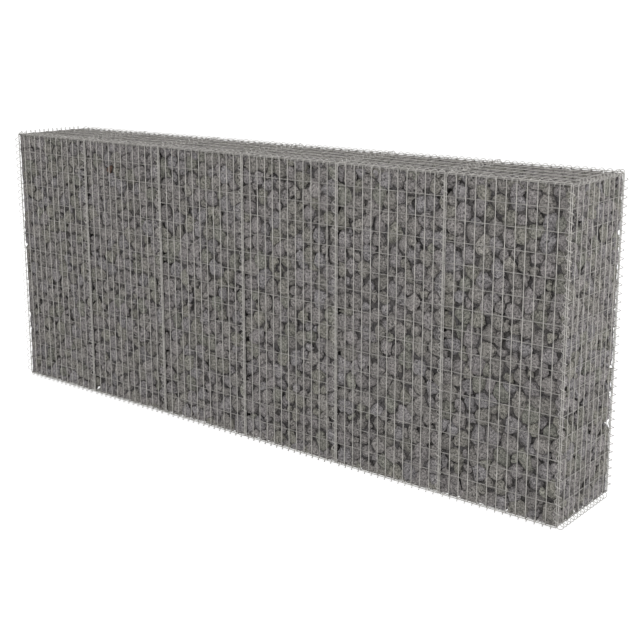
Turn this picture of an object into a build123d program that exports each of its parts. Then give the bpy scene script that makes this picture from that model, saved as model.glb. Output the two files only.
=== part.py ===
from build123d import *
from math import hypot, sqrt
import os

# A free-standing gabion wall: six welded mesh baskets in a row, laced to each other with wire
# spirals and packed with stone. X runs along the wall, the front faces -Y and +Z is up. The
# origin is under the middle of the wall, level with the lowest coils. Sizes are in millimetres.

# ---------------------------------------------------------------- driving dimensions
bay_count = 6                 # baskets in the row
cells_along = 12              # mesh cells along one bay
cells_high = 15               # mesh cells from base to lid
cells_deep = 10               # mesh cells across an end panel
lid_cells_deep = 5            # mesh cells across a lid, a base or a partition

cell_width = 50.0             # upright wire to upright wire
cell_height = 100.0           # level wire to level wire
mesh_bar = 3.5                # square bar with the steel section of the 4 mm round mesh wire
seam_width = 12.0             # edge wire to edge wire of two bays that stand side by side

spiral_wire = 3.0             # wire of the lacing spirals
spiral_bar = 2.66             # square bar with that wire's steel section
spiral_outside = 30.0         # diameter over a spiral's coils
coils_along = 15              # coils on one bay's edge
coils_high = 37.5             # coils between the lowest and the highest level wire
coils_deep = 15               # coils between the front and the back of a bay
spiral_inset = 12.5           # an upright spiral stops this far short of the edge wires
seat_gap = 0.4                # from a coil to the wires that it holds

# ---------------------------------------------------------------- the frame of edge wires
bay_length = cells_along * cell_width
bay_pitch = bay_length + seam_width
run_length = bay_count * bay_pitch - seam_width
face_height = cells_high * cell_height
depth = cells_deep * cell_width
lid_cell = depth / lid_cells_deep

half_bar = mesh_bar / 2
half_run = run_length / 2
half_depth = depth / 2
bay_starts = [-half_run + i * bay_pitch for i in range(bay_count)]
seams = [start - seam_width / 2 for start in bay_starts[1:]]

half_diagonal = spiral_bar / sqrt(2)                        # the bar turns a little as it winds
coil_radius = (spiral_outside - spiral_wire) / 2            # to the middle of the bar
coil_reach = coil_radius + half_diagonal
hold_radius = coil_radius - half_diagonal - seat_gap        # what lies within is held

# A seam spiral lies round a row of edge wires, as far out as the two outer ones let it.
seam_out = sqrt(hold_radius**2 - (seam_width / 2 + half_bar)**2) - half_bar
# A corner spiral seats on two wires that are staggered by one bar one way and two the other.
stagger = hypot(mesh_bar, 2 * mesh_bar)
corner_out = sqrt(hold_radius**2 - (stagger / 2)**2)
# Across an end, it seats on two wires that are staggered by one bar both ways.
end_out = sqrt(hold_radius**2 - mesh_bar**2 / 2)

# Heights: the base's cross wires, the lowest and the highest level wires, the lid's cross wires.
base_row = seam_out + coil_reach
first_level = base_row + mesh_bar
last_level = first_level + face_height
lid_row = last_level + mesh_bar
face_row = half_depth + mesh_bar                            # upright wires of the front and back
end_levels = half_run + mesh_bar                            # level wires of the end panels
end_row = end_levels + mesh_bar                             # upright wires of the end panels


def steps(first, pitch, count):
    """Places from first on, one pitch apart."""
    return [first + i * pitch for i in range(count)]


level_heights = steps(first_level, cell_height, cells_high + 1)
lid_ys = steps(-half_depth, lid_cell, lid_cells_deep + 1)
end_ys = steps(-half_depth, cell_width, cells_deep + 1)
bay_xs = steps(0, cell_width, cells_along + 1)


def save(name, label):
    """Label a finished node and write it to its own STEP file."""
    name.part.label = label
    export_step(name.part, f"parts/{label}.step", write_pcurves=False)


os.makedirs("parts", exist_ok=True)

# ---------------------------------------------------------------- welded mesh panels
# Every panel is two layers of straight wires, welded where they cross. The layers touch.
# A long face: uprights outside at -Y, level wires behind them, starting at the bay's own x = 0.
with BuildPart() as long_face:
    with Locations(*[(x, -face_row, (first_level + last_level) / 2) for x in bay_xs]):
        Box(mesh_bar, mesh_bar, face_height + mesh_bar)
    with Locations(*[(bay_length / 2, -half_depth, z) for z in level_heights]):
        Box(bay_length + mesh_bar, mesh_bar, mesh_bar)

# A flat cover: lengthwise wires outside, cross wires under them, level with z = 0.
with BuildPart() as cover:
    with Locations(*[(x, 0, 0) for x in bay_xs]):
        Box(mesh_bar, depth + mesh_bar, mesh_bar)
    with Locations(*[(bay_length / 2, y, mesh_bar) for y in lid_ys]):
        Box(bay_length + mesh_bar, mesh_bar, mesh_bar)

# An end face: uprights outside at +X, level wires behind them.
with BuildPart() as end_face:
    with Locations(*[(end_row, y, (first_level + last_level) / 2) for y in end_ys]):
        Box(mesh_bar, mesh_bar, face_height + mesh_bar)
    with Locations(*[(end_levels, 0, z) for z in level_heights]):
        Box(mesh_bar, depth + mesh_bar, mesh_bar)

# A partition between two bays: its border wires lie in one row with the bays' edge wires.
partition_ys = [-face_row, *lid_ys[1:-1], face_row]
partition_heights = [base_row, *level_heights[1:-1], lid_row]
with BuildPart() as partition:
    with Locations(*[(-half_bar, y, (base_row + lid_row) / 2) for y in partition_ys]):
        Box(mesh_bar, mesh_bar, lid_row - base_row + mesh_bar)
    with Locations(*[(half_bar, 0, z) for z in partition_heights]):
        Box(mesh_bar, 2 * face_row + mesh_bar, mesh_bar)

for number, start in enumerate(bay_starts, start=1):
    with BuildPart() as front_panel:
        with Locations((start, 0, 0)):
            add(long_face.part)
    save(front_panel, f"front_panel_{number}")

    with BuildPart() as back_panel:
        with Locations(Location((start + bay_length, 0, 0), (0, 0, 180))):
            add(long_face.part)
    save(back_panel, f"back_panel_{number}")

    with BuildPart() as lid_panel:
        with Locations((start, 0, lid_row)):
            add(cover.part)
    save(lid_panel, f"lid_panel_{number}")

    with BuildPart() as base_panel:
        with Locations(Location((start, 0, base_row), (180, 0, 0))):
            add(cover.part)
    save(base_panel, f"base_panel_{number}")

with BuildPart() as end_panel_right:
    add(end_face.part)
save(end_panel_right, "end_panel_right")

with BuildPart() as end_panel_left:
    with Locations(Location((0, 0, 0), (0, 0, 180))):
        add(end_face.part)
save(end_panel_left, "end_panel_left")

for number, seam in enumerate(seams, start=1):
    with BuildPart() as partition_panel:
        with Locations((seam, 0, 0)):
            add(partition.part)
    save(partition_panel, f"partition_panel_{number}")

# ---------------------------------------------------------------- stone filling
# The packed stone of one bay, as the block that its wires hold: it touches the inner wires of
# all six sides, and its edges are bevelled by what the coils of the edge spirals take up.
fill_bevel = sqrt(2) * (coil_reach + seat_gap) - 2 * mesh_bar
for number, start in enumerate(bay_starts, start=1):
    left = start - seam_width / 2 + mesh_bar if number > 1 else start - half_bar
    right = start + bay_length + (seam_width / 2 - mesh_bar if number < bay_count else half_bar)
    with BuildPart() as stone_fill:
        with Locations(((left + right) / 2, 0, (first_level + last_level) / 2)):
            Box(right - left, depth - mesh_bar, face_height + mesh_bar)
        chamfer(stone_fill.edges(), fill_bevel)
    save(stone_fill, f"stone_fill_{number}")


# ---------------------------------------------------------------- lacing spirals
def spiral(length, pitch):
    """One left-hand binder about +Z that starts towards +X: a square bar carried along
    quarter-turn arcs through points of a helix, as many as the length takes."""
    quarters = int(length / (pitch / 4) + 0.01)

    def at(turns):
        return Vector(coil_radius, 0, 0).rotate(Axis.Z, -360 * turns) + Vector(0, 0, pitch * turns)

    with BuildPart() as binder:
        with BuildLine() as path:
            for quarter in range(quarters):
                ThreePointArc(at(quarter / 4), at((quarter + 0.5) / 4), at((quarter + 1) / 4))
        with BuildSketch(Plane(origin=path.line @ 0, x_dir=(1, 0, 0), z_dir=path.line % 0)):
            Rectangle(spiral_bar, spiral_bar)
        sweep()
    return binder.part


def wound(start, along, toward, passes, pitch):
    """The plane that a binder starts on, turned so that a coil comes to the side `toward` of
    its axis at the distance `passes` from the start."""
    first = Vector(*toward).rotate(Axis((0, 0, 0), along), 360 * passes / pitch)
    return Plane(origin=start, x_dir=first, z_dir=along)


edge_pitch = bay_length / coils_along
edge_spiral = spiral(bay_length, edge_pitch)
high_pitch = face_height / coils_high
high_spiral = spiral(face_height - 2 * spiral_inset, high_pitch)
deep_pitch = depth / coils_deep
deep_spiral = spiral(depth - deep_pitch, deep_pitch)

# Along the bays' long edges, with the axis where the row of uprights would meet the row of cross
# wires. A coil comes to the inner diagonal at each bay's edge wire, and so passes between the
# uprights on one side and between the cover's cross wires on the other.
for label, row, up in (("lid_edge_spirals", lid_row, 1), ("base_edge_spirals", base_row, -1)):
    with BuildPart() as edge_spirals:
        with Locations(*[
            wound((start, side * face_row, row), (1, 0, 0), (0, -side, -up), 0, edge_pitch)
            for start in bay_starts
            for side in (-1, 1)
        ]):
            add(edge_spiral)
    save(edge_spirals, label)

# Up the seams, front and back: a coil is innermost midway between two places where the spiral
# would meet a level wire.
high_start = first_level + spiral_inset
high_passes = high_pitch / 4 - spiral_inset
seam_y = face_row + seam_out
with BuildPart() as seam_spirals:
    with Locations(*[
        wound((seam, side * seam_y, high_start), (0, 0, 1), (0, -side, 0), high_passes, high_pitch)
        for seam in seams
        for side in (-1, 1)
    ]):
        add(high_spiral)
save(seam_spirals, "seam_spirals")

# Up the four corners, round the edge uprights of a long face and of an end.
corner_x = half_run + half_bar + corner_out * mesh_bar / stagger
corner_y = half_depth + corner_out * 2 * mesh_bar / stagger
with BuildPart() as corner_spirals:
    with Locations(*[
        wound(
            (end * corner_x, side * corner_y, high_start),
            (0, 0, 1),
            (-end * mesh_bar, -side * 2 * mesh_bar, 0),
            high_passes,
            high_pitch,
        )
        for end in (-1, 1)
        for side in (-1, 1)
    ]):
        add(high_spiral)
save(corner_spirals, "corner_spirals")

# Across the wall at each seam and each end, over the lid and under the base, half a pitch short
# of the edge wires. Wherever it passes a lengthwise wire, a coil is outermost at a seam, and
# farthest along the wall at an end.
deep_start = -half_depth + deep_pitch / 2
end_step = end_out / sqrt(2)
for label, row, level, up in (
    ("lid_cross_spirals", lid_row, last_level, 1),
    ("base_cross_spirals", base_row, first_level, -1),
):
    at_seams = [
        wound(
            (seam, deep_start, row + up * seam_out),
            (0, 1, 0),
            (0, 0, up),
            -deep_pitch / 2,
            deep_pitch,
        )
        for seam in seams
    ]
    at_ends = [
        wound(
            (end * (half_run + end_step), deep_start, level + up * end_step),
            (0, 1, 0),
            (end, 0, 0),
            -deep_pitch / 2,
            deep_pitch,
        )
        for end in (-1, 1)
    ]
    with BuildPart() as cross_spirals:
        with Locations(*at_seams, *at_ends):
            add(deep_spiral)
    save(cross_spirals, label)
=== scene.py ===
# %% [markdown]
# # A gabion wall, dressed
# Six welded mesh baskets stand in a row. Lacing spirals hold them together and broken stone fills
# them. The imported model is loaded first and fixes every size: a square bar there tells where the
# middle of a round wire runs, and a plain block tells where the stones may lie. Each piece below
# is worked out with numpy as whole arrays, from those places.

# %% Load the frame
import bpy
import numpy as np
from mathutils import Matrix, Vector


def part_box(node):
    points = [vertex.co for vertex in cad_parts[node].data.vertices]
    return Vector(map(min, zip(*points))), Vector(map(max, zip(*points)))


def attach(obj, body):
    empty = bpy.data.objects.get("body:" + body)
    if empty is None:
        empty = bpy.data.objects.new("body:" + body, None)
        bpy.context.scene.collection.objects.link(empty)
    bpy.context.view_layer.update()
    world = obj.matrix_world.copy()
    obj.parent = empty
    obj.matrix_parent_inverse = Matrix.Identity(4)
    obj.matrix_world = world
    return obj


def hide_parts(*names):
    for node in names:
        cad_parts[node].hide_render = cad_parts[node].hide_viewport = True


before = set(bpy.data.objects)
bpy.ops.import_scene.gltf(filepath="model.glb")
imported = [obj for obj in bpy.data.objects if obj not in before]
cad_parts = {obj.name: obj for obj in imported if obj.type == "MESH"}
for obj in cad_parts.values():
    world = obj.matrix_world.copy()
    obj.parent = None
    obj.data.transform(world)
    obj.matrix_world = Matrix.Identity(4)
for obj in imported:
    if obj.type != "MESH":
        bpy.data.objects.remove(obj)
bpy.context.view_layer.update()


def node_box(node):
    """A node's lowest and highest corner, as arrays."""
    low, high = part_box(node)
    return np.array(low), np.array(high)


# %% [markdown]
# ## The view
# The wall is seen from above its right-hand end, from about six metres away, with a long lens, so
# its far end runs back to the left. A camera is placed by where it stands and by the way it
# looks. The lens is shifted a little downwards, which keeps the uprights nearly parallel.

# %% Camera
X, Y, Z = 0, 1, 2
bar = 0.0035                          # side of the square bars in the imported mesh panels
first_level = node_box("front_panel_1")[0][Z] + bar / 2     # middle of the lowest level wire
eye = Vector((3.895, -4.470, first_level + 2.122))
looks = Vector((-0.60998, 0.76470, -0.20773))

camera = bpy.data.objects.new("camera", bpy.data.cameras.new("camera"))
camera.location = eye
camera.rotation_euler = looks.to_track_quat("-Z", "Y").to_euler()
camera.data.sensor_width = 36.0
camera.data.lens = 63.46
camera.data.shift_x = -0.0049
camera.data.shift_y = -0.0789
bpy.context.collection.objects.link(camera)
bpy.context.scene.camera = camera
print("camera", [round(v, 3) for v in eye])

# %% [markdown]
# ## Studio light
# Stone keeps its soft greys under a large pale sky with no hard shadow. The sky gives most of the
# light and is brightest near the horizon, so that upright faces are lit more than the top. One
# wide lamp beyond the right-hand end makes the end face a little brighter than the long face, and
# that difference is what lets the eye read the corner. A weaker lamp stands in front. A low lamp
# lights the back and the other end and leaves the top alone. The floor glows like a light table,
# which leaves no shadow under the wall and fills the undersides with soft light.

# %% Sky, lamps and floor
sky = bpy.data.worlds.new("studio_sky")
sky.use_nodes = True
sky_tree = sky.node_tree
direction = sky_tree.nodes.new("ShaderNodeTexCoord")
height = sky_tree.nodes.new("ShaderNodeSeparateXYZ")
fade = sky_tree.nodes.new("ShaderNodeMapRange")
fade.inputs["To Min"].default_value, fade.inputs["To Max"].default_value = 1.60, 0.58
sky_tree.links.new(direction.outputs["Generated"], height.inputs["Vector"])
sky_tree.links.new(height.outputs["Z"], fade.inputs["Value"])
sky_tree.links.new(fade.outputs["Result"], sky_tree.nodes["Background"].inputs["Strength"])
sky_tree.nodes["Background"].inputs["Color"].default_value = (1.0, 0.995, 0.985, 1.0)
bpy.context.scene.world = sky
bpy.context.scene.view_settings.view_transform = "Standard"


def lamp(name, stands, aims, size, power):
    """A square lamp of a given size in metres, turned from where it stands to where it aims."""
    light = bpy.data.objects.new(name, bpy.data.lights.new(name, "AREA"))
    light.data.size = size
    light.data.energy = power
    light.location = stands
    light.rotation_euler = (Vector(aims) - Vector(stands)).to_track_quat("-Z", "Y").to_euler()
    bpy.context.collection.objects.link(light)
    print(name, power, "W")


lamp("end_lamp", stands=(8.0, -1.5, 4.0), aims=(1.6, 0.0, 0.8), size=4.0, power=530.0)
lamp("front_lamp", stands=(1.0, -7.0, 5.5), aims=(0.0, 0.0, 0.8), size=5.0, power=300.0)
lamp("back_lamp", stands=(-5.0, 5.5, 2.5), aims=(-0.5, 0.0, 0.8), size=5.0, power=520.0)

floor_paint = bpy.data.materials.new("pale_floor")
floor_paint.use_nodes = True
floor_shader = floor_paint.node_tree.nodes["Principled BSDF"]
floor_shader.inputs["Base Color"].default_value = (0.10, 0.10, 0.10, 1)
floor_shader.inputs["Roughness"].default_value = 0.95
floor_shader.inputs["Emission Color"].default_value = (1, 1, 1, 1)
floor_shader.inputs["Emission Strength"].default_value = 0.95
floor_end = 40.0                      # metres from the middle of the floor to its edges
floor_corners = [(x * floor_end, y * floor_end, 0) for x, y in ((-1, -1), (1, -1), (1, 1), (-1, 1))]
floor_mesh = bpy.data.meshes.new("floor")
floor_mesh.from_pydata(floor_corners, [], [(0, 1, 2, 3)])
floor = bpy.data.objects.new("floor", floor_mesh)
floor.data.materials.append(floor_paint)
bpy.context.collection.objects.link(floor)
print("floor", 2 * floor_end, "m wide, with", len(floor_mesh.polygons), "face")

# %% [markdown]
# ## Finishes
# Three finishes cover the wall: mesh wire, spiral wire and broken stone. Each is a tree of nodes
# that ends in one shader. The same few steps come up again and again in such a tree: add a node
# and link it, turn a pattern into colours, and stretch one range of values to another. Written
# once as helpers, they leave each finish short enough to read as a recipe.

# %% Helpers for node trees
def material(name):
    """A new material, with its node tree, its shader and a function that adds a node to it."""
    made = bpy.data.materials.new(name)
    made.use_nodes = True
    tree = made.node_tree

    def node(kind, links=(), operation=None, **sockets):
        """Adds a node. Each link is (socket of the new node, node, its output)."""
        new = tree.nodes.new(kind)
        if operation:
            new.operation = operation
        for key, value in sockets.items():
            new.inputs[key.replace("_", " ")].default_value = value
        for socket, other, output in links:
            tree.links.new(other.outputs[output], new.inputs[socket])
        return new

    return made, tree, tree.nodes["Principled BSDF"], node


def ramp(node, factor, stops):
    """A colour ramp over a node's Fac, through (place, colour) stops."""
    made = node("ShaderNodeValToRGB", [("Fac", factor, "Fac")])
    while len(made.color_ramp.elements) < len(stops):
        made.color_ramp.elements.new(0.5)
    for element, (place, colour) in zip(made.color_ramp.elements, stops):
        element.position = place
        element.color = (*colour, 1.0)
    return made


def stretch(node, source, given, wanted, output="Fac"):
    """Carries the range given of a node's output over to the range wanted."""
    return node("ShaderNodeMapRange", [("Value", source, output)], From_Min=given[0],
                From_Max=given[1], To_Min=wanted[0], To_Max=wanted[1])


print("helpers for finishes:", material.__name__, ramp.__name__, stretch.__name__)

# %% [markdown]
# ## Galvanised wire
# All wire in the wall is steel under zinc. The zinc has gone dull, with paler and darker patches a
# few centimetres long. Each panel's inner wires lie on the stones, so they are rubbed and dusty and
# lie in the stones' shade. Their colour is painted darker for both, dust and painted shade, which
# lets the outer ones stand out as lines. A noise gives the patches, and an attribute called
# dust_and_shade on the mesh tells the inner wires from the outer ones, so that one finish serves both.

# %% Galvanised finish
def galvanised(name, pale, dark, roughness):
    """Dull zinc: colour between dark and pale in patches, a metal's sheen under a thin oxide. Where
    the attribute dust_and_shade is 1, the colour is over a quarter darker: dust and painted shade."""
    made, tree, shader, node = material(name)
    place = node("ShaderNodeTexCoord")
    patches = node("ShaderNodeTexNoise", [("Vector", place, "Object")], Scale=45.0, Detail=4.0)
    specks = node("ShaderNodeTexNoise", [("Vector", place, "Object")], Scale=900.0, Detail=2.0)
    colour = ramp(node, patches, [(0.32, dark), (0.68, pale)])
    rough = stretch(node, patches, (0.0, 1.0), (roughness - 0.1, roughness + 0.12))
    bump = node("ShaderNodeBump", [("Height", specks, "Fac")], Strength=0.25, Distance=0.0003)
    # The inner wires' colour is painted darker here: dust and painted shade.
    dust_and_shade = node("ShaderNodeAttribute")
    dust_and_shade.attribute_name = "dust_and_shade"
    dull = stretch(node, dust_and_shade, (0.0, 1.0), (1.0, 0.72))
    dusty_and_shaded = node("ShaderNodeVectorMath", [(0, colour, "Color"), (1, dull, "Result")], "MULTIPLY")
    tree.links.new(dusty_and_shaded.outputs["Vector"], shader.inputs["Base Color"])
    tree.links.new(rough.outputs["Result"], shader.inputs["Roughness"])
    tree.links.new(bump.outputs["Normal"], shader.inputs["Normal"])
    shader.inputs["Metallic"].default_value = 0.35
    return made


mesh_zinc = galvanised("mesh_zinc", (0.345, 0.334, 0.316), (0.225, 0.218, 0.205), 0.5)
spiral_zinc = galvanised("spiral_zinc", (0.345, 0.335, 0.318), (0.215, 0.208, 0.196), 0.42)
print("finishes", mesh_zinc.name, spiral_zinc.name)

# %% [markdown]
# ## Broken stone
# The filling is quarry stone: a warm grey that is a little pinkish here and buff or greenish
# there, and very rarely rusty. Every stone has a tone and a tint of its own, which its mesh
# carries as two attributes. A ramp turns the tint into a hue, and the tone sets the lightness, so
# that neighbours differ although the whole face stays one quiet grey. The material then adds what
# lies within one stone: mottling, short cracks, fine grains and a rough surface.

# %% Stone finish
def broken_stone(name):
    """Stone: hue from the attribute tint, times lightness from the attribute tone, times mottling,
    cracks and grains. A crack runs where two cells of a Voronoi pattern meet, unless the mottling
    is light there."""
    made, tree, shader, node = material(name)
    place = node("ShaderNodeTexCoord")
    at = [("Vector", place, "Object")]
    tint = node("ShaderNodeAttribute")
    tint.attribute_name = "tint"
    tone = node("ShaderNodeAttribute")
    tone.attribute_name = "tone"
    hue = ramp(node, tint, [
        (0.00, (0.150, 0.144, 0.147)), (0.25, (0.150, 0.140, 0.139)),
        (0.60, (0.148, 0.140, 0.132)), (0.78, (0.144, 0.139, 0.122)),
        (0.88, (0.134, 0.134, 0.118)), (1.00, (0.098, 0.062, 0.048)),
    ])
    mottle = node("ShaderNodeTexNoise", at, Scale=95.0, Detail=5.0, Roughness=0.7)
    grains = node("ShaderNodeTexNoise", at, Scale=260.0, Detail=3.0, Roughness=0.6)
    chips = node("ShaderNodeTexVoronoi", at, Scale=55.0)
    cracks = node("ShaderNodeTexVoronoi", at, Scale=48.0)
    cracks.feature = "DISTANCE_TO_EDGE"
    light = stretch(node, tone, (0.0, 1.0), (0.5, 1.5))
    # Unclamped, so that a tone below 0 paints the heart darker than any stone: painted shade.
    light.clamp = False
    blotch = stretch(node, mottle, (0.34, 0.66), (0.48, 1.52))
    grain = stretch(node, grains, (0.34, 0.66), (0.5, 1.5))
    uneven = node("ShaderNodeMath", [(0, cracks, "Distance"), (1, mottle, "Fac")], "ADD")
    crack = stretch(node, uneven, (0.42, 0.56), (0.45, 1.05), "Value")
    patches = node("ShaderNodeMath", [(0, blotch, "Result"), (1, crack, "Result")], "MULTIPLY")
    within = node("ShaderNodeMath", [(0, patches, "Value"), (1, grain, "Result")], "MULTIPLY")
    whole = node("ShaderNodeMath", [(0, within, "Value"), (1, light, "Result")], "MULTIPLY")
    colour = node("ShaderNodeVectorMath", [(0, hue, "Color"), (1, whole, "Value")], "MULTIPLY")
    rough = node("ShaderNodeMath", [(0, mottle, "Fac"), (1, grains, "Fac")], "ADD")
    relief = node("ShaderNodeMath", [(0, rough, "Value"), (1, chips, "Distance")], "ADD")
    bump = node("ShaderNodeBump", [("Height", relief, "Value")], Strength=0.9, Distance=0.006)
    tree.links.new(colour.outputs["Vector"], shader.inputs["Base Color"])
    tree.links.new(bump.outputs["Normal"], shader.inputs["Normal"])
    shader.inputs["Roughness"].default_value = 0.88
    shader.inputs["Specular IOR Level"].default_value = 0.3
    return made


stone = broken_stone("broken_stone")
print("finish", stone.name, "with", len(stone.node_tree.nodes), "nodes")

# %% [markdown]
# ## From arrays to a piece
# Every piece below ends the same way. Its points and faces go into a mesh in one go, it gets its
# finish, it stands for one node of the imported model, and it rides on the body called root. A list
# of points and faces per piece would do too, but arrays are filled in a moment at any size.

# %% Dress a node
made_triangles = {}


def dress(name, points, faces, finish, slot, node, smooth=30.0, attributes=()):
    """A piece from its points and from arrays of faces, each array with one row per face. Faces
    that meet at less than smooth degrees are shaded as one surface."""
    data = bpy.data.meshes.new(name)
    data.vertices.add(len(points))
    data.vertices.foreach_set("co", np.asarray(points, np.float32).ravel())
    corners = np.concatenate([f.ravel() for f in faces])
    sizes = np.concatenate([np.full(len(f), f.shape[1]) for f in faces])
    starts = np.concatenate([[0], np.cumsum(sizes)[:-1]])
    data.loops.add(len(corners))
    data.loops.foreach_set("vertex_index", corners.astype(np.int32))
    data.polygons.add(len(sizes))
    data.polygons.foreach_set("loop_start", starts.astype(np.int32))
    data.update(calc_edges=True)
    for attribute, values in attributes:
        made = data.attributes.new(attribute, "FLOAT", "POINT")
        made.data.foreach_set("value", values.astype(np.float32))
    data.shade_smooth()
    data.set_sharp_from_angle(angle=np.radians(smooth))
    data.materials.append(finish)
    piece = bpy.data.objects.new(name, data)
    bpy.context.collection.objects.link(piece)
    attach(piece, "root")
    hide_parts(node)
    made_triangles[name] = int((sizes - 2).sum())


print("nodes to dress", len(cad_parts))

# %% [markdown]
# ## Round wire
# All the steel in the wall is round wire, so one function makes it: a circle carried along many
# paths at once. A path needs a second direction beside its own, so that the circle has somewhere
# to start. For a straight wire any fixed direction across it will do. For a spiral the direction
# away from the coil's axis is the natural one, because it turns with the wire and never flips.

# %% Carry a circle along paths
def wire(paths, across, radius, sides):
    """Point (w, p, s) is path w at p, plus radius times (cos a across + sin a third), where a goes
    round once over s, and third is the path's direction crossed with across. The ends are closed."""
    along = np.gradient(paths, axis=1)
    along /= np.linalg.norm(along, axis=2, keepdims=True)
    across = across - (across * along).sum(2, keepdims=True) * along
    across /= np.linalg.norm(across, axis=2, keepdims=True)
    third = np.cross(along, across)
    turn = 2 * np.pi * np.arange(sides) / sides
    circle = np.cos(turn)[:, None] * across[:, :, None] + np.sin(turn)[:, None] * third[:, :, None]
    points = paths[:, :, None] + radius * circle
    index = np.arange(points.size // 3).reshape(points.shape[:3])
    beside = np.roll(index, -1, axis=2)
    sleeve = np.stack([index[:, :-1], beside[:, :-1], beside[:, 1:], index[:, 1:]], axis=-1)
    caps = np.concatenate([index[:, 0, ::-1], index[:, -1]])
    return points.reshape(-1, 3), [sleeve.reshape(-1, 4), caps]


def join(parts):
    """Several (points, faces) as one, with the faces renumbered."""
    start = np.cumsum([0] + [len(points) for points, _ in parts])
    faces = [f + s for (_, group), s in zip(parts, start) for f in group]
    return np.concatenate([points for points, _ in parts]), faces


trial = wire(np.array([[[0, 0, 0], [0, 0, 1.0]]]), np.array([[[1.0, 0, 0], [1.0, 0, 0]]]), 1.0, 8)
print("a wire with 8 sides and 2 rings:", len(trial[0]), "points", sum(map(len, trial[1])), "faces")

# %% [markdown]
# ## Welded mesh
# A panel is two layers of straight wires, pressed together and welded wherever they cross. The
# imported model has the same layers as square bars, and each panel's box gives the outermost bars:
# half a bar inside the box lies the middle of the first wire. The wires are 4 mm thick and their
# layers 3.5 mm apart, so they sink half a millimetre into each other, as a weld does. A straight
# wire of a real basket is never quite straight once it holds stone, so each one sways by less
# than a millimetre.

# %% Straight wires
cell_width, cell_height, cover_cell = 0.050, 0.100, 0.100
mesh_radius, mesh_sides, mesh_rings = 0.002, 8, 11
most_sway = 0.00035                   # of each of the two waves
sway_waves, sway_starts = (0.8, 3.0), (0, 6.3)      # waves to a wire, and radians
sway_random = np.random.default_rng(11)


def straight(axis, first, last, place, sway_axis):
    """Wires along one axis from first to last. place has one row per wire, and its number on that
    axis is not used. Each wire is bowed along sway_axis by two slow sine waves, which fade out
    towards its ends."""
    t = np.linspace(0, 1, mesh_rings)
    paths = np.repeat(place[:, None], len(t), axis=1)
    paths[:, :, axis] = first + (last - first) * t
    waves = sway_random.uniform(*sway_waves, (2, len(place), 1))
    starts = sway_random.uniform(*sway_starts, (2, len(place), 1))
    sizes = sway_random.uniform(0.0, most_sway, (2, len(place), 1))
    bow = (sizes * np.sin(2 * np.pi * waves * t + starts)).sum(0) * np.sin(np.pi * t) ** 0.5
    paths[:, :, sway_axis] += bow
    across = np.zeros_like(paths)
    across[:, :, X + Y + Z - axis - sway_axis] = 1.0
    return wire(paths, across, mesh_radius, mesh_sides)


def places(low, high, pitch):
    """Middles of wires that stand a pitch apart, the first and the last half a bar inside."""
    count = round((high - low - bar) / pitch) + 1
    return np.linspace(low + bar / 2, high - bar / 2, count)


def rows(axis, spots, through, level):
    """One row per wire: its spot on one axis, its layer's level on another, 0 on the third."""
    made = np.zeros((len(spots), 3))
    made[:, axis], made[:, through] = spots, level
    return made


face_low, face_high = node_box("front_panel_1")
print("a long face has", len(places(face_low[X], face_high[X], cell_width)), "uprights and",
      len(places(face_low[Z], face_high[Z], cell_height)), "level wires")

# %% [markdown]
# ## Long faces, ends, covers and partitions
# On a long face or an end the uprights are outside and the level wires behind them. On a lid or a
# base the lengthwise wires are outside and the cross wires inside. All of them come from one
# function, which is told which axis each layer runs along and which side is outside.

# %% Dress the panels
def panel(node, outer_axis, inner_axis, outer_side, outer_pitch, inner_pitch):
    """Two layers of wires over the node's box, with a value for dust and painted shade: 0 on the outer
    ones along outer_axis, on the side given as -1 or 1 of the axis that is left, and 1 on the inner
    ones along inner_axis behind them."""
    low, high = node_box(node)
    through = X + Y + Z - outer_axis - inner_axis
    level = {1: high[through] - bar / 2, -1: low[through] + bar / 2}
    outer_spots = places(low[inner_axis], high[inner_axis], outer_pitch)
    inner_spots = places(low[outer_axis], high[outer_axis], inner_pitch)
    outer = rows(inner_axis, outer_spots, through, level[outer_side])
    inner = rows(outer_axis, inner_spots, through, level[-outer_side])
    clean = straight(outer_axis, low[outer_axis], high[outer_axis], outer, inner_axis)
    dusty_and_shaded = straight(inner_axis, low[inner_axis], high[inner_axis], inner, outer_axis)
    return *join([clean, dusty_and_shaded]), np.repeat([0.0, 1.0], [len(clean[0]), len(dusty_and_shaded[0])])


bays = range(1, 7)
panels = [(f"{side}_panel_{bay}", Z, X, out, cell_width, cell_height)
          for bay in bays for side, out in (("front", -1), ("back", 1))]
panels += [(f"{side}_panel_{bay}", X, Y, out, cover_cell, cell_width)
           for bay in bays for side, out in (("lid", 1), ("base", -1))]
panels += [(f"end_panel_{side}", Z, Y, out, cell_width, cell_height)
           for side, out in (("left", -1), ("right", 1))]
# The inner wires of each panel are painted darker, for dust and painted shade.
for node, *layers in panels:
    points, faces, dust_and_shade = panel(node, *layers)
    dress(node.replace("panel", "mesh"), points, faces, mesh_zinc, "galvanised_mesh", node,
          attributes=[("dust_and_shade", dust_and_shade)])
print("mesh panels", len(made_triangles), "triangles", sum(made_triangles.values()))

# %% [markdown]
# ## Partitions
# A partition stands between two bays, and its border wires lie in one row with the bays' edge
# wires, so that one spiral binds all of them. Its border is therefore a little further out than
# its cells' own pitch would put it.

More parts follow.
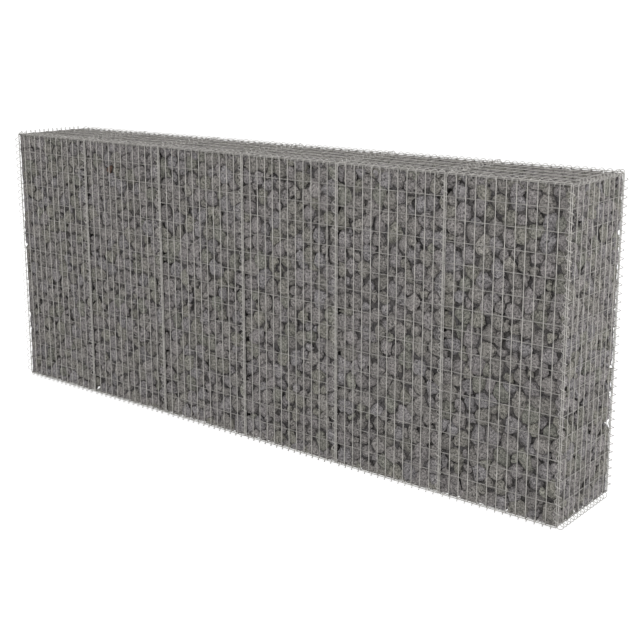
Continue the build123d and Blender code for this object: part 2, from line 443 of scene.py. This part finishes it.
# %% Dress the partitions
seam_numbers = bays[:-1]
for seam in seam_numbers:
    node = f"partition_panel_{seam}"
    low, high = node_box(node)
    face_low, face_high = node_box(f"front_panel_{seam}")
    levels = places(face_low[Z], face_high[Z], cell_height)
    levels[[0, -1]] = low[Z] + bar / 2, high[Z] - bar / 2
    cover_low, cover_high = node_box(f"lid_panel_{seam}")
    uprights = places(cover_low[Y], cover_high[Y], cover_cell)
    uprights[[0, -1]] = low[Y] + bar / 2, high[Y] - bar / 2
    dress(f"partition_mesh_{seam}", *join([
        straight(Z, low[Z], high[Z], rows(Y, uprights, X, low[X] + bar / 2), Y),
        straight(Y, low[Y], high[Y], rows(Z, levels, X, high[X] - bar / 2), Z),
    ]), mesh_zinc, "galvanised_mesh", node)
print("with partitions", len(made_triangles), "triangles", sum(made_triangles.values()))

# %% [markdown]
# ## Lacing spirals
# A lacing spiral is a long open coil of 3 mm spring wire, 30 mm across, with 40 mm from turn to
# turn. It is screwed in along two edges, so at every turn it goes round their edge wires and
# comes out again through the next cells. It winds like a left-hand thread. Across the wall the
# coils are a little closer. Screw modifiers or curves could draw it, but a helix is one line of
# algebra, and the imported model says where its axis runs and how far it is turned.

# %% A helix
pitch, cross_pitch = 0.040, 0.5 / 15
coil_radius, spiral_radius = 0.0135, 0.0015
spiral_sides, rings_per_turn = 6, 18
spiral_smooth = 60.0                  # degrees between a spiral's neighbouring faces, at most
reach = 0.015381                      # from a spiral's axis to its node's box


def helix(start, along, toward, passes, length, pitch=pitch):
    """A wire along points that go round an axis while they move along it, as a left-hand thread
    does: at the distance s from the start it has turned by -2 pi (s - passes) / pitch from toward."""
    z, x = np.array(along, float), np.array(toward, float)
    x /= np.linalg.norm(x)
    y = np.cross(z, x)
    s = np.linspace(0, length, round(length / pitch * rings_per_turn) + 1)
    turn = -2 * np.pi * (s - passes) / pitch
    out = np.cos(turn)[:, None] * x + np.sin(turn)[:, None] * y
    path = np.array(start) + s[:, None] * z + coil_radius * out
    return wire(path[None], out[None], spiral_radius, spiral_sides)


def lace(node, coils):
    """Dresses a node of spirals with all of its coils."""
    name = node.replace("spirals", "lacing")
    dress(name, *join(coils), spiral_zinc, "galvanised_spiral", node, spiral_smooth)
    print(name, "spirals", len(coils), "triangles", made_triangles[name])


face_boxes = [node_box(f"front_panel_{bay}") for bay in bays]
bay_starts = [low[X] + bar / 2 for low, _ in face_boxes]
bay_length = face_boxes[0][1][X] - face_boxes[0][0][X] - bar
seams = [(face_boxes[i - 1][1][X] + face_boxes[i][0][X]) / 2 for i in seam_numbers]
print("bay length", round(bay_length, 4), "seams", [round(s, 3) for s in seams])

# %% [markdown]
# ## Spirals along the long edges
# One spiral per bay runs along each of the four long edges. Its coils stand proud of the wall and
# draw the loopy outline of the top and the foot. It is turned so that a coil is deepest in the
# basket at each bay's own edge wire.

# %% Edge spirals
for name, up in (("lid_edge_spirals", 1), ("base_edge_spirals", -1)):
    low, high = node_box(name)
    height = high[Z] - reach if up > 0 else low[Z] + reach
    out = high[Y] - reach
    lace(name, [
        helix((start, side * out, height), (1, 0, 0), (0, -side, -up), 0.0, bay_length)
        for start in bay_starts for side in (-1, 1)
    ])

# %% [markdown]
# ## Spirals up the seams and corners
# These stand upright, front and back at each seam and at the four corners. They stop 12.5 mm short
# of the top and the foot, where the edge spirals take over. Each is turned so that it is innermost
# midway between the places where it would meet a level wire, and it ends on a whole quarter turn.

# %% Seam and corner spirals
inset = 0.0125                        # from the outermost level wires
last_level = face_boxes[0][1][Z] - bar / 2
bottom, height = first_level + inset, last_level - first_level - 2 * inset
height = int(height / (pitch / 4) + 0.01) * pitch / 4
passes = pitch / 4 - inset
seam_y = node_box("seam_spirals")[1][Y] - reach
lace("seam_spirals", [
    helix((seam, side * seam_y, bottom), (0, 0, 1), (0, -side, 0), passes, height)
    for seam in seams for side in (-1, 1)
])

corner_x, corner_y, _ = node_box("corner_spirals")[1] - reach
lace("corner_spirals", [
    helix((end * corner_x, side * corner_y, bottom), (0, 0, 1), (-end, -2 * side, 0), passes, height)
    for end in (-1, 1) for side in (-1, 1)
])

# %% [markdown]
# ## Spirals across the wall
# At each seam and at both ends a spiral crosses the wall, once over the lids and once under the
# bases, half a pitch short of the edges. Where it passes a lengthwise wire, a coil is outermost
# at a seam and farthest along the wall at an end, so that it goes round the wire.

# %% Cross spirals
half_depth = -face_boxes[0][0][Y] - 1.5 * bar       # to the level wires of the long faces
half_run = -bay_starts[0]                           # to the outermost uprights
first = -half_depth + cross_pitch / 2
turned = -cross_pitch / 2
for name, level, up in (("lid_cross_spirals", last_level, 1), ("base_cross_spirals", first_level, -1)):
    low, high = node_box(name)
    seam_z = high[Z] - reach if up > 0 else low[Z] + reach
    end_x = high[X] - reach
    end_z = level + up * (end_x - half_run)
    lace(name, [
        helix((seam, first, seam_z), (0, 1, 0), (0, 0, up), turned, -2 * first, cross_pitch)
        for seam in seams
    ] + [
        helix((end * end_x, first, end_z), (0, 1, 0), (end, 0, 0), turned, -2 * first, cross_pitch)
        for end in (-1, 1)
    ])

# %% [markdown]
# ## Stones
# The filling is what one sees most. Real stones are packed by hand against the mesh, flat faces
# outwards, with small dark openings where corners meet. Physics could drop them in, but then the
# faces would be left to chance. Here each side of a bay is divided among stones as a paving is:
#
# 1. scatter centres, the largest stones first, with smaller ones in the space that is left,
# 2. give each stone the part of the side that is nearer to it than to its neighbours,
# 3. let it reach a little over that part, so that stones meet in a crease and not in a joint,
# 4. leave small openings where three stones meet,
# 5. dome it forward, and cut the dome with a few slanting planes, as a hammer would.
#
# A stone has thirteen sides and only 52 faces, because there are thousands of stones.

# %% Scatter the stones
least_radius, added_radius = 0.0185, 0.0275
smallness = 1.3                       # above 1, more of the stones are small
closeness = 0.8                       # of two radii, from one centre to another, at least
edge_room = 0.45                      # of a radius, from a centre to the side's edge, at least
stone_random = np.random.default_rng(74)


def scatter(width, height, tries=2600):
    """Centres and radii of stones on a rectangle. The largest are placed first. A stone is kept
    where it is further from every one before it than closeness times the sum of the two radii."""
    radii = np.sort(least_radius + added_radius * stone_random.random(tries) ** smallness)[::-1]
    centres = stone_random.random((tries, 2)) * (width, height)
    margin = np.minimum(centres, (width, height) - centres).min(1)
    kept = []
    for i in np.flatnonzero(margin > edge_room * radii):
        apart = np.hypot(*(centres[kept] - centres[i]).T) if kept else np.array([1.0])
        if (apart > closeness * (radii[kept] + radii[i])).all():
            kept.append(i)
    return centres[kept], radii[kept]


trial_width, trial_height = 0.58, 1.48              # metres, about one long face
trial_count = len(scatter(trial_width, trial_height)[0])
mean_width = float(np.sqrt(trial_width * trial_height / trial_count))
print("stones on a trial face", trial_count, "mean width", round(mean_width, 4))

# %% [markdown]
# ## Outlines
# A stone ends where it meets its neighbours. Cells of straight lines would do for cut paving, but
# broken stone has rounded corners, so each outline is a smooth least of the distances to all the
# borders around it. Some stones are drawn rounder than others.

# %% Outline of each stone
sides = 13
around = 2 * np.pi * np.arange(sides) / sides
tall = 1.16                           # a stone's height over its width, on average
beyond = 0.007                        # how far an outline may pass a side's edge before it is cut off
least_border = 0.3                    # of a radius, from a stone's centre to its border
neighbours = 14                       # the borders nearest to a stone, all others being too far off
far_off = 9.0                         # metres: further than any border
least_facing = 0.05                   # cos b: a border that is turned away further is left out
roundness = (10, 28)                  # power of the smooth least: the lower it is, the rounder
print("directions", sides, "every", round(360 / sides, 1), "degrees")


def outlines(centres, radii, width, height):
    """Distance from each centre to its outline, for each direction. Towards a neighbour at the
    distance d the border lies at (d^2 + r^2 - r'^2) / 2d, and in a direction at the angle b from
    the neighbour it is that over cos b. The smooth least of these rounds the corners."""
    x, y = centres.T
    itself = np.eye(len(x), dtype=bool)
    apart = centres[None] - centres[:, None]
    d2 = (apart**2).sum(2) + itself
    border = (d2 + radii[:, None] ** 2 - radii[None] ** 2) / 2 / np.sqrt(d2)
    border = np.maximum(border, least_border * radii[:, None])
    border[itself] = far_off
    to_edges = np.stack([width - x, height - y, x, y], axis=1) + beyond
    border = np.concatenate([border, to_edges], axis=1)
    edge_angles = np.broadcast_to([0, np.pi / 2, np.pi, -np.pi / 2], (len(x), 4))
    toward = np.concatenate([np.arctan2(apart[..., 1], apart[..., 0]), edge_angles], axis=1)
    near = np.argsort(border, axis=1)[:, :neighbours]
    border = np.take_along_axis(border, near, 1)
    toward = np.take_along_axis(toward, near, 1)
    angle = stone_random.uniform(0, 2 * np.pi / sides, (len(x), 1)) + around
    facing = np.cos(angle[:, :, None] - toward[:, None])
    away = border[:, None] / np.maximum(facing, least_facing)
    away = np.where(facing > least_facing, away, far_off)
    power = stone_random.uniform(*roundness, (len(x), 1, 1))
    return angle, ((away**-power).sum(2)) ** (-1 / power[:, :, 0])


# %% [markdown]
# ## Openings
# Where three stones meet, their rounded corners leave a small hole, and the dark of the basket
# shows in it: real shade, over a heart whose colour is painted shade. Rounder outlines alone would
# open every corner alike. Instead, some corners are picked at random and the three stones around
# each are drawn back from it.

# %% Openings where three stones meet
open_share = 0.040                    # of a side's area
open_area = 0.00015                   # of one opening, on average
open_radii = (0.004, 0.010)
open_margin = 0.02                    # from the side's edges
open_tries, open_best = 5000, 0.12    # random places, and the share of them that is good enough
open_wider = 0.15                     # radians past an opening's own width, to either side
open_least = 0.006                    # from a stone's centre to an opening, at least
print("openings on a trial face", int(open_share * trial_width * trial_height / open_area))


def leave_open(angle, outline, centres, radii, width, height):
    """The outlines, drawn back from small round openings that take up their share of the side.
    Of many random places, an opening takes one that is nearly as far from its third-nearest stone
    as from its nearest, where far means distance squared less radius squared."""
    span = (width - 2 * open_margin, height - 2 * open_margin)
    many = open_margin + stone_random.random((open_tries, 2)) * span
    away = ((many[:, None] - centres) ** 2).sum(2) - radii**2
    nearest = np.partition(away, 2, axis=1)[:, :3]
    spread = nearest.max(1) - nearest.min(1)
    count = int(open_share * width * height / open_area)
    middles = many[spread < np.quantile(spread, open_best)][:count]
    sizes = stone_random.uniform(*open_radii, len(middles))
    apart = middles[None] - centres[:, None]
    distance = np.hypot(apart[..., 0], apart[..., 1])
    off = angle[:, :, None] - np.arctan2(apart[..., 1], apart[..., 0])[:, None]
    off = np.abs((off + np.pi) % (2 * np.pi) - np.pi)
    hit = off < (np.arcsin(np.minimum(sizes / distance, 1)) + open_wider)[:, None]
    hit &= (distance > sizes + open_least)[:, None]
    limit = np.where(hit, (distance - sizes)[:, None], far_off).min(2)
    return np.minimum(outline, limit)


# %% [markdown]
# ## One stone's surface
# A stone is a grid of two parameters: which way round, and how far from its front. The front is a
# single point, then come three rings, the widest of them set back, and the hidden back closes in
# one point. At the edges of a side the outline is cut off straight, because there the stones lie
# against the next side's stones or against the partition.

# %% Raise the stones
ring_reach = np.array([0.5, 0.84, 1.0])             # how far out the rings lie, over the outline
ring_drop = np.array([0.03, 0.2, 1.0])              # how far they are set back, over the depth
overreach, wobble = (1.05, 1.13), (0.95, 1.03)      # of the outline: a stone's, and each corner's
radius_limits, depth_share = (0.012, 0.034), (0.28, 0.5)    # the depth is a share of the radius
cuts, cut_slopes, cut_starts = 5, (0.1, 0.8), (0.0, 0.8)    # they start at a share of the radius
flush = 0.15                          # share of the drop and of the cuts at a side's straight edge
pitting = 0.003
closing = 0.012                       # from the last ring to the point at the back
tone_middle, tone_spread, tone_limits = 0.5, 0.085, (0.05, 1.0)
tint_most = 0.88                      # what is above it in the ramp is rusty
rusty_tone, rusty_tint = 0.35, 1.0


def stones(width, height, keep_back, spread_back, rusty_at=None):
    """Stones over a rectangle, as (points in its own frame, faces, tone, tint). They are laid out
    on a wider rectangle and squeezed together with it, which makes them taller than wide. Height
    is minus the drop of the ring, minus the deepest of five slanting cuts, minus a little pitting.
    A stone is then moved until the highest point of its rings lies at its own setback."""
    centres, radii = scatter(width * tall, height)
    angle, outline = outlines(centres, radii, width * tall, height)
    count = len(centres)
    outline = outline * stone_random.uniform(*overreach, (count, 1))
    outline = outline * stone_random.uniform(*wobble, outline.shape)
    outline = leave_open(angle, outline, centres, radii, width * tall, height)
    far = outline[:, None] * ring_reach[:, None]
    spread = np.stack([far * np.cos(angle)[:, None], far * np.sin(angle)[:, None]], axis=-1)
    place = np.clip(centres[:, None, None] + spread, 0, (width * tall, height))
    walled = (place != centres[:, None, None] + spread).any(-1)
    place, centres = place / (tall, 1.0), centres / (tall, 1.0)

    radius = outline.mean(1)[:, None, None]
    deep = np.clip(radius, *radius_limits) * stone_random.uniform(*depth_share, (count, 1, 1))
    flat_x, flat_y = np.moveaxis(place - centres[:, None, None], -1, 0)
    facing = stone_random.uniform(0, 2 * np.pi, (count, cuts))
    slope = stone_random.uniform(*cut_slopes, (count, cuts))
    begins = stone_random.uniform(*cut_starts, (count, cuts)) * radius[:, :, 0]
    cut = np.zeros(place.shape[:3])
    for turned, steep, begin in zip(*(each.T[:, :, None, None] for each in (facing, slope, begins))):
        cut = np.maximum(cut, steep * (flat_x * np.cos(turned) + flat_y * np.sin(turned) - begin))
    keep = np.where(walled, flush, 1.0)
    drop = deep * ring_drop[:, None] * keep + cut * keep
    drop += stone_random.uniform(0, pitting, drop.shape)

    least = drop.min((1, 2))
    back = keep_back + spread_back * stone_random.random(count) ** 2
    level = least[:, None, None] - drop - back[:, None, None]
    rings = np.concatenate([place, level[..., None]], axis=-1)
    front = np.concatenate([centres, (least - back)[:, None]], axis=1)[:, None]
    behind = np.concatenate([centres, level.min((1, 2))[:, None] - closing], axis=1)[:, None]
    points = np.concatenate([front, rings.reshape(count, -1, 3), behind], axis=1)
    tone = np.clip(stone_random.normal(tone_middle, tone_spread, count), *tone_limits)
    tint = stone_random.random(count) * tint_most
    if rusty_at:
        rusty = (np.hypot(*(centres - rusty_at).T) + radii).argmin()
        tone[rusty], tint[rusty] = rusty_tone, rusty_tint
    size = points.shape[1]
    return points.reshape(-1, 3), stone_faces(count), np.repeat(tone, size), np.repeat(tint, size)


# %% [markdown]
# ## Faces of a stone
# All stones share one pattern of faces: a fan of triangles round the front, two bands of quads,
# and a fan round the back. It is worked out once and repeated with each stone's own numbers.

# %% Join the points of the stones
def stone_faces(count):
    """Faces of one stone, for as many stones as count says. Point 0 is the front, then come the
    three rings, and the last point is the back."""
    rings = 1 + np.arange(3 * sides).reshape(3, sides)
    beside = np.roll(rings, -1, axis=1)
    last = 3 * sides + 1
    fan_front = np.stack([0 * rings[0], rings[0], beside[0]], axis=1)
    bands = np.stack([rings[:-1], rings[1:], beside[1:], beside[:-1]], axis=-1).reshape(-1, 4)
    fan_back = np.stack([0 * rings[2] + last, beside[2], rings[2]], axis=1)
    first = (np.arange(count) * (last + 1))[:, None, None]
    return [(first + f).reshape(-1, f.shape[1]) for f in (fan_front, bands, fan_back)]


print("faces of one stone", sum(map(len, stone_faces(1))))

# %% [markdown]
# ## Sides of a bay
# Each bay gets stones on every side that shows: front, back, top and foot, and the two end bays
# one end each. The stones are cut off straight at the edges, where those of two sides meet. Each
# side is worked out flat, as a rectangle in a frame of its own, and then laid in its place.

# %% Sides of a bay
edge_clear, seam_clear = 0.001, 0.0003              # from the next side, and from a partition
upright_back, top_back, foot_back = (0.0004, 0.006), (0.003, 0.010), (0.0004, 0.004)
first_bay, last_bay = bays[0], bays[-1]


def place_on(points, corner, across, up):
    """Points in a rectangle's frame, moved so that its corner and its two edges lie as given. The
    third axis is the edges' cross product and points out of the wall."""
    across, up = np.array(across, float), np.array(up, float)
    turned = np.stack([across, up, np.cross(across, up)])
    return np.array(corner) + points @ turned


def bay_sides(low, high, bay):
    """(corner, across, up, width, height, least and added setback) for each side that shows of one
    bay's fill. The top has settled a little, so its stones lie lower under the lid."""
    (x0, y0, z0), (x1, y1, z1) = low, high
    e = edge_clear
    left = x0 + (e if bay == first_bay else seam_clear)
    right = x1 - (e if bay == last_bay else seam_clear)
    wide, deep, tall_side = right - left, y1 - y0 - 2 * e, z1 - z0 - 2 * e
    found = [
        ((left, y0, z0 + e), (1, 0, 0), (0, 0, 1), wide, tall_side, *upright_back),
        ((right, y1, z0 + e), (-1, 0, 0), (0, 0, 1), wide, tall_side, *upright_back),
        ((left, y0 + e, z1), (1, 0, 0), (0, 1, 0), wide, deep, *top_back),
        ((right, y0 + e, z0), (-1, 0, 0), (0, 1, 0), wide, deep, *foot_back),
    ]
    if bay == first_bay:
        found.append(((x0, y1 - e, z0 + e), (0, -1, 0), (0, 0, 1), deep, tall_side, *upright_back))
    if bay == last_bay:
        found.append(((x1, y0 + e, z0 + e), (0, 1, 0), (0, 0, 1), deep, tall_side, *upright_back))
    return found


print("sides that show", sum(len(bay_sides(*node_box(f"stone_fill_{bay}"), bay)) for bay in bays))

# %% [markdown]
# ## The heart of the filling
# Behind the stones that show lies the rest of the filling. Nobody sees a single stone of it, so a
# lumpy block does for it, which shows only through the openings. Its colour is painted darker than
# any stone's: painted shade for the dark deep in the openings. It nearly reaches the partitions, so
# that hardly any light falls through the wall beside them.

# %% The heart
heart_cell, heart_lumps = 0.045, 0.005
heart_inset, heart_seam_inset = 0.024, 0.006
# The heart's tone lies below every stone's, so its colour is painted shade.
heart_shade_tone, heart_tint = -0.12, 0.6


def heart(low, high):
    """A closed block on a grid: six sides of a box, with each point moved a little at random.
    Points are shared along the edges by their place on the grid, so the block stays closed."""
    cells = np.maximum(np.round((high - low) / heart_cell).astype(int), 2)
    grids, faces, start = [], [], 0
    for axis in (X, Y, Z):
        u, v = (axis + 1) % 3, (axis + 2) % 3
        for end in (0, 1):
            i, j = np.meshgrid(np.arange(cells[u] + 1), np.arange(cells[v] + 1), indexing="ij")
            place = np.zeros((*i.shape, 3), int)
            place[..., axis], place[..., u], place[..., v] = end * cells[axis], i, j
            index = start + np.arange(i.size).reshape(i.shape)
            corners = [index[:-1, :-1], index[1:, :-1], index[1:, 1:], index[:-1, 1:]]
            quads = np.stack(corners if end else corners[::-1], axis=-1)
            faces.append(quads.reshape(-1, 4))
            grids.append(place.reshape(-1, 3))
            start += i.size
    spots, same = np.unique(np.concatenate(grids), axis=0, return_inverse=True)
    points = low + (high - low) * spots / cells
    points += stone_random.uniform(-heart_lumps, heart_lumps, points.shape)
    return points, [same.reshape(-1)[np.concatenate(faces)]]


print("heart set back", heart_inset, "m, at the seams", heart_seam_inset, "m")

# %% [markdown]
# ## Fill the baskets
# Each bay's stones and its heart become one piece, with a tone and a tint on every point. A single
# stone near the top of the second bay is rusty.

# %% Dress the fills
fill_inset = 0.0006                   # round level wires reach further in than square ones
stone_smooth = 38.0
rusty_bay, rusty_spot = 2, (0.178, 1.335)           # on the front, from its left foot
stone_count = 0
for bay in bays:
    node = f"stone_fill_{bay}"
    low, high = node_box(node)
    low[Y], high[Y] = low[Y] + fill_inset, high[Y] - fill_inset
    parts, tones, tints = [], [], []
    for number, (corner, across, up, *setting) in enumerate(bay_sides(low, high, bay)):
        spot = rusty_spot if bay == rusty_bay and number == 0 else None
        points, faces, tone, tint = stones(*setting, spot)
        parts.append((place_on(points, corner, across, up), faces))
        tones.append(tone)
        tints.append(tint)
        stone_count += len(points) // (3 * sides + 2)
    inset_left = heart_inset if bay == first_bay else heart_seam_inset
    inset_right = heart_inset if bay == last_bay else heart_seam_inset
    core_low = low + (inset_left, heart_inset, heart_inset)
    core_high = high - (inset_right, heart_inset, heart_inset)
    core_points, core_faces = heart(core_low, core_high)
    parts.append((core_points, core_faces))
    tones.append(np.full(len(core_points), heart_shade_tone))
    tints.append(stone_random.random(len(core_points)) * heart_tint)
    dress(f"stones_{bay}", *join(parts), stone, "stone", node, stone_smooth,
          attributes=[("tone", np.concatenate(tones)), ("tint", np.concatenate(tints))])
print("stones", stone_count, "triangles", {k: v for k, v in made_triangles.items() if "stones" in k})

# %% [markdown]
# ## Count and finish
# The pieces and their triangles are counted.

# %% Finish
print("pieces", len(made_triangles), "triangles", sum(made_triangles.values()))
